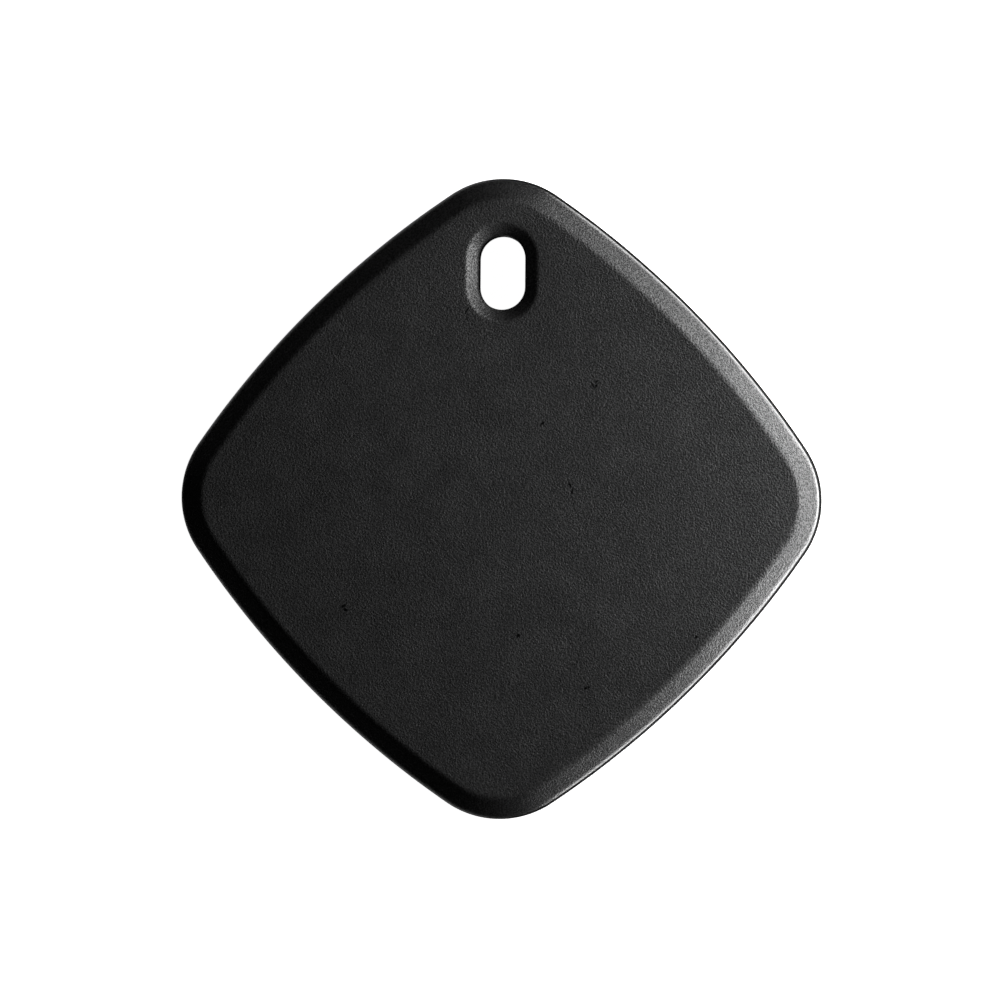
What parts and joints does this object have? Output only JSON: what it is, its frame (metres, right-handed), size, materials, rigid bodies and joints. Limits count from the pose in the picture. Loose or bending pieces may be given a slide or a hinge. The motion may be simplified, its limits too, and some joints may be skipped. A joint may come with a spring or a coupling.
{
  "type": "bluetooth tracker tag",
  "caption": "Flat square tracker tag with bulging sides, round corners and a key-ring slot through one corner; a lift-off cover over a coin cell, a rear button and a piezo sounder.",
  "frame": {"origin": "middle of the flat rear face that the tag lies on", "axes": "+Z out of the plain front face, +Y from the middle towards the key-ring slot's corner, +X to the right seen from the front"},
  "size_m": [0.0466, 0.0466, 0.0099],
  "materials": {
    "case_plastic": "fine spark-eroded grain",
    "hook_plastic": "smooth moulded",
    "button_plastic": "satin moulded",
    "cradle_plastic": "natural nylon",
    "switch_plastic": "moulded liquid-crystal polymer",
    "silicone": "soft satin",
    "seal_silicone": "soft satin",
    "foam": "open cell foam",
    "solder_mask": "satin solder mask over copper",
    "stainless_steel": "drawn and brushed",
    "screw_steel": "nickel plated",
    "contact_nickel": "nickel plated strip",
    "gold_strip": "gold plated strip",
    "brass": "rolled sheet",
    "piezo_ceramic": "silvered ceramic",
    "adhesive": "double-sided tape",
    "chip_epoxy": "moulded epoxy",
    "ferrite": "pressed ferrite",
    "capacitor_ceramic": "sintered ceramic with tinned ends",
    "resistor_film": "glazed film with tinned ends",
    "antenna_ceramic": "white ceramic with tinned ends",
    "crystal_can": "sealed metal lid",
    "cathode_mix": "pressed powder",
    "lithium": "soft rolled foil",
    "separator_fleece": "non-woven",
    "cell_polymer": "moulded polypropylene"
  },
  "bodies": {
    "rear_case": {"rear_case": "case_plastic", "circuit_board": "solder_mask", "board_screws": "screw_steel", "battery_cradle": "cradle_plastic", "positive_contact": "contact_nickel", "negative_contact": "contact_nickel", "bluetooth_chip": "chip_epoxy", "main_crystal": "crystal_can", "clock_crystal": "crystal_can", "chip_antenna": "antenna_ceramic", "supply_inductor": "ferrite", "reservoir_capacitor": "capacitor_ceramic", "buzzer_inductor": "ferrite", "buzzer_driver": "chip_epoxy", "matching_inductors": "antenna_ceramic", "ceramic_capacitors": "capacitor_ceramic", "chip_resistors": "resistor_film", "test_pads": "gold_strip", "sounder_adhesive_ring": "adhesive", "sounder_plate": "brass", "sounder_ceramic": "piezo_ceramic", "plate_spring": "gold_strip", "ceramic_spring": "gold_strip", "button_membrane": "silicone", "switch_housing": "switch_plastic", "switch_dome": "stainless_steel", "switch_cover": "stainless_steel"},
    "front_cover": {"front_cover": "case_plastic", "cover_snap_hooks": "hook_plastic", "perimeter_seal": "seal_silicone", "battery_pad": "foam"},
    "coin_cell": {"cell_can": "stainless_steel", "cell_cap": "stainless_steel", "cell_gasket": "cell_polymer", "lithium_disc": "lithium", "cell_separator": "separator_fleece", "cathode_pellet": "cathode_mix"},
    "button": {"button_cap": "button_plastic", "switch_actuator": "switch_plastic"}
  },
  "joints": [
    {"name": "cover_lift", "type": "slide", "parent": "rear_case", "child": "front_cover", "axis": [0, 0, 1], "range_m": [0, 0.016], "deforming": ["cover_snap_hooks"]},
    {"name": "cell_lift", "type": "slide", "parent": "rear_case", "child": "coin_cell", "axis": [0, 0, 1], "range_m": [0, 0.008]},
    {"name": "button_press", "type": "slide", "parent": "rear_case", "child": "button", "axis": [0, 0, 1], "range_m": [0, 0.00025], "stiffness_N_per_m": 6400, "deforming": ["button_membrane", "switch_dome"]}
  ],
  "couplings": [
    {"joint": "cell_lift", "follows": "cover_lift", "ratio": 0.5}
  ]
}
